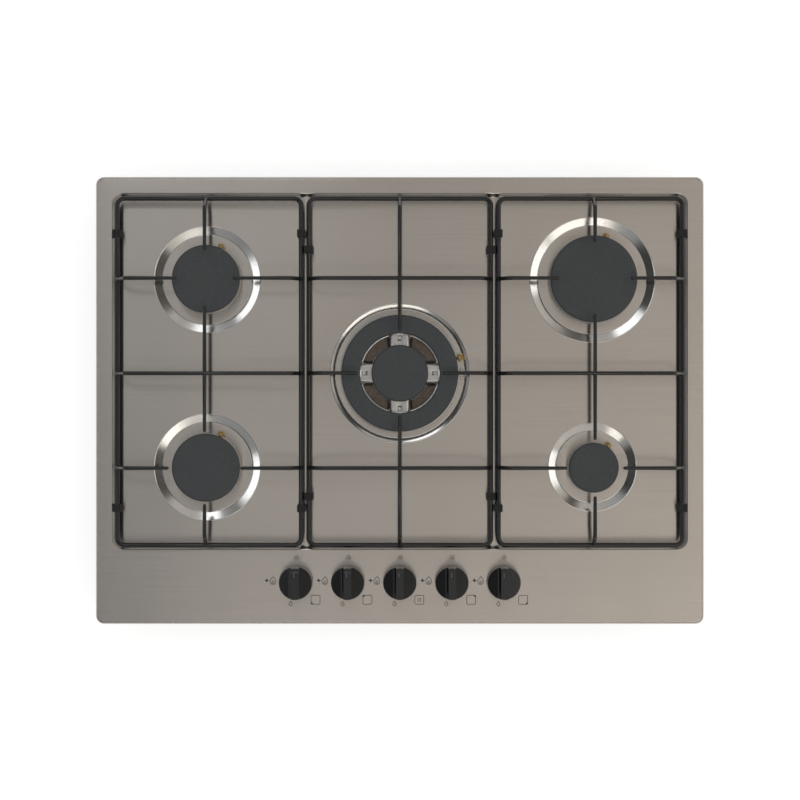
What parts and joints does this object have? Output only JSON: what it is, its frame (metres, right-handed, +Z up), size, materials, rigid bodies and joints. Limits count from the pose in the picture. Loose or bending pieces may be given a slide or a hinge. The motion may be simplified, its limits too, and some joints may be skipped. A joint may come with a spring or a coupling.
{
  "type": "gas cooktop",
  "caption": "Built-in gas cooktop with a pressed steel top, five burners with lift-off crowns and caps, wire pan supports and push-and-turn taps in a row along the front.",
  "frame": {"origin": "centre of the plate in plan, on the flat base of the tray", "axes": "+X to the cook's right, +Y to the back, +Z up; the knobs are at the front, at -Y"},
  "size_m": [0.68, 0.5, 0.0885],
  "materials": {
    "stainless": "brushed, grain along X",
    "galvanised_steel": "galvanised sheet, satin",
    "zinc_steel": "zinc plated, satin",
    "turned_steel": "turned, bright",
    "burner_alloy": "die-cast, satin",
    "cap_enamel": "matte vitreous enamel",
    "brass": "machined",
    "sensor_metal": "machined, warm",
    "ceramic": "unglazed, fine",
    "aluminium_tube": "drawn, satin",
    "support_enamel": "satin black enamel",
    "rubber": "matte",
    "knob_plastic": "polished black",
    "housing_plastic": "moulded",
    "silicone_lead": "silicone sleeve"
  },
  "bodies": {
    "casing": {"top_plate": "stainless", "base_tray": "galvanised_steel", "steel_brackets": "galvanised_steel", "casing_screws": "zinc_steel", "gas_rail": "turned_steel", "burner_cup_front_left": "burner_alloy", "burner_cup_rear_left": "burner_alloy", "burner_cup_wok": "burner_alloy", "burner_cup_rear_right": "burner_alloy", "burner_cup_front_right": "burner_alloy", "injectors": "brass", "tap_bodies": "brass", "inlet_elbow": "brass", "flame_sensors": "sensor_metal", "spark_electrodes": "ceramic", "feed_tubes": "aluminium_tube", "worktop_seal": "rubber", "knob_seals": "rubber", "spark_generator": "housing_plastic", "switch_harness": "housing_plastic", "terminal_block": "housing_plastic", "cable_gland": "housing_plastic", "spark_leads": "silicone_lead"},
    "tap_plug_1": {"tap_plug_1": "brass", "return_spring_1": "zinc_steel"},
    "knob_1": {"spindle_1": "turned_steel", "knob_1": "knob_plastic"},
    "tap_plug_2": {"tap_plug_2": "brass", "return_spring_2": "zinc_steel"},
    "knob_2": {"spindle_2": "turned_steel", "knob_2": "knob_plastic"},
    "tap_plug_3": {"tap_plug_3": "brass", "return_spring_3": "zinc_steel"},
    "knob_3": {"spindle_3": "turned_steel", "knob_3": "knob_plastic"},
    "tap_plug_4": {"tap_plug_4": "brass", "return_spring_4": "zinc_steel"},
    "knob_4": {"spindle_4": "turned_steel", "knob_4": "knob_plastic"},
    "tap_plug_5": {"tap_plug_5": "brass", "return_spring_5": "zinc_steel"},
    "knob_5": {"spindle_5": "turned_steel", "knob_5": "knob_plastic"},
    "crown_front_left": {"crown_front_left": "burner_alloy"},
    "cap_front_left": {"cap_front_left": "cap_enamel"},
    "crown_rear_left": {"crown_rear_left": "burner_alloy"},
    "cap_rear_left": {"cap_rear_left": "cap_enamel"},
    "crown_wok": {"crown_wok": "burner_alloy"},
    "cap_wok": {"cap_wok": "cap_enamel"},
    "cap_wok_ring": {"cap_wok_ring": "cap_enamel"},
    "crown_rear_right": {"crown_rear_right": "burner_alloy"},
    "cap_rear_right": {"cap_rear_right": "cap_enamel"},
    "crown_front_right": {"crown_front_right": "burner_alloy"},
    "cap_front_right": {"cap_front_right": "cap_enamel"},
    "pan_support_left": {"pan_support_left": "support_enamel", "support_feet_left": "rubber"},
    "pan_support_centre": {"pan_support_centre": "support_enamel", "support_feet_centre": "rubber"},
    "pan_support_right": {"pan_support_right": "support_enamel", "support_feet_right": "rubber"}
  },
  "joints": [
    {"name": "knob_1_turn", "type": "hinge", "parent": "casing", "child": "tap_plug_1", "pos_m": [-0.116, -0.203, 0.05], "axis": [0, 0, 1], "range_deg": [0, 165]},
    {"name": "knob_1_press", "type": "slide", "parent": "tap_plug_1", "child": "knob_1", "axis": [0, 0, -1], "range_m": [0, 0.004], "stiffness_N_per_m": 600, "springref_m": -0.006, "deforming": ["return_spring_1"]},
    {"name": "knob_2_turn", "type": "hinge", "parent": "casing", "child": "tap_plug_2", "pos_m": [-0.058, -0.203, 0.05], "axis": [0, 0, 1], "range_deg": [0, 165]},
    {"name": "knob_2_press", "type": "slide", "parent": "tap_plug_2", "child": "knob_2", "axis": [0, 0, -1], "range_m": [0, 0.004], "stiffness_N_per_m": 600, "springref_m": -0.006, "deforming": ["return_spring_2"]},
    {"name": "knob_3_turn", "type": "hinge", "parent": "casing", "child": "tap_plug_3", "pos_m": [0, -0.203, 0.05], "axis": [0, 0, 1], "range_deg": [0, 165]},
    {"name": "knob_3_press", "type": "slide", "parent": "tap_plug_3", "child": "knob_3", "axis": [0, 0, -1], "range_m": [0, 0.004], "stiffness_N_per_m": 600, "springref_m": -0.006, "deforming": ["return_spring_3"]},
    {"name": "knob_4_turn", "type": "hinge", "parent": "casing", "child": "tap_plug_4", "pos_m": [0.058, -0.203, 0.05], "axis": [0, 0, 1], "range_deg": [0, 165]},
    {"name": "knob_4_press", "type": "slide", "parent": "tap_plug_4", "child": "knob_4", "axis": [0, 0, -1], "range_m": [0, 0.004], "stiffness_N_per_m": 600, "springref_m": -0.006, "deforming": ["return_spring_4"]},
    {"name": "knob_5_turn", "type": "hinge", "parent": "casing", "child": "tap_plug_5", "pos_m": [0.116, -0.203, 0.05], "axis": [0, 0, 1], "range_deg": [0, 165]},
    {"name": "knob_5_press", "type": "slide", "parent": "tap_plug_5", "child": "knob_5", "axis": [0, 0, -1], "range_m": [0, 0.004], "stiffness_N_per_m": 600, "springref_m": -0.006, "deforming": ["return_spring_5"]},
    {"name": "crown_front_left_lift", "type": "slide", "parent": "casing", "child": "crown_front_left", "axis": [0, 0, 1], "range_m": [0, 0.05]},
    {"name": "cap_front_left_lift", "type": "slide", "parent": "crown_front_left", "child": "cap_front_left", "axis": [0, 0, 1], "range_m": [0, 0.03]},
    {"name": "crown_rear_left_lift", "type": "slide", "parent": "casing", "child": "crown_rear_left", "axis": [0, 0, 1], "range_m": [0, 0.004]},
    {"name": "cap_rear_left_lift", "type": "slide", "parent": "crown_rear_left", "child": "cap_rear_left", "axis": [0, 0, 1], "range_m": [0, 0.004]},
    {"name": "crown_wok_lift", "type": "slide", "parent": "casing", "child": "crown_wok", "axis": [0, 0, 1], "range_m": [0, 0.004]},
    {"name": "cap_wok_lift", "type": "slide", "parent": "crown_wok", "child": "cap_wok", "axis": [0, 0, 1], "range_m": [0, 0.03]},
    {"name": "cap_wok_ring_lift", "type": "slide", "parent": "crown_wok", "child": "cap_wok_ring", "axis": [0, 0, 1], "range_m": [0, 0.004]},
    {"name": "crown_rear_right_lift", "type": "slide", "parent": "casing", "child": "crown_rear_right", "axis": [0, 0, 1], "range_m": [0, 0.004]},
    {"name": "cap_rear_right_lift", "type": "slide", "parent": "crown_rear_right", "child": "cap_rear_right", "axis": [0, 0, 1], "range_m": [0, 0.004]},
    {"name": "crown_front_right_lift", "type": "slide", "parent": "casing", "child": "crown_front_right", "axis": [0, 0, 1], "range_m": [0, 0.05]},
    {"name": "cap_front_right_lift", "type": "slide", "parent": "crown_front_right", "child": "cap_front_right", "axis": [0, 0, 1], "range_m": [0, 0.03]},
    {"name": "pan_support_left_lift", "type": "slide", "parent": "casing", "child": "pan_support_left", "axis": [0, 0, 1], "range_m": [0, 0.12]},
    {"name": "pan_support_centre_lift", "type": "slide", "parent": "casing", "child": "pan_support_centre", "axis": [0, 0, 1], "range_m": [0, 0.12]},
    {"name": "pan_support_right_lift", "type": "slide", "parent": "casing", "child": "pan_support_right", "axis": [0, 0, 1], "range_m": [0, 0.12]}
  ]
}
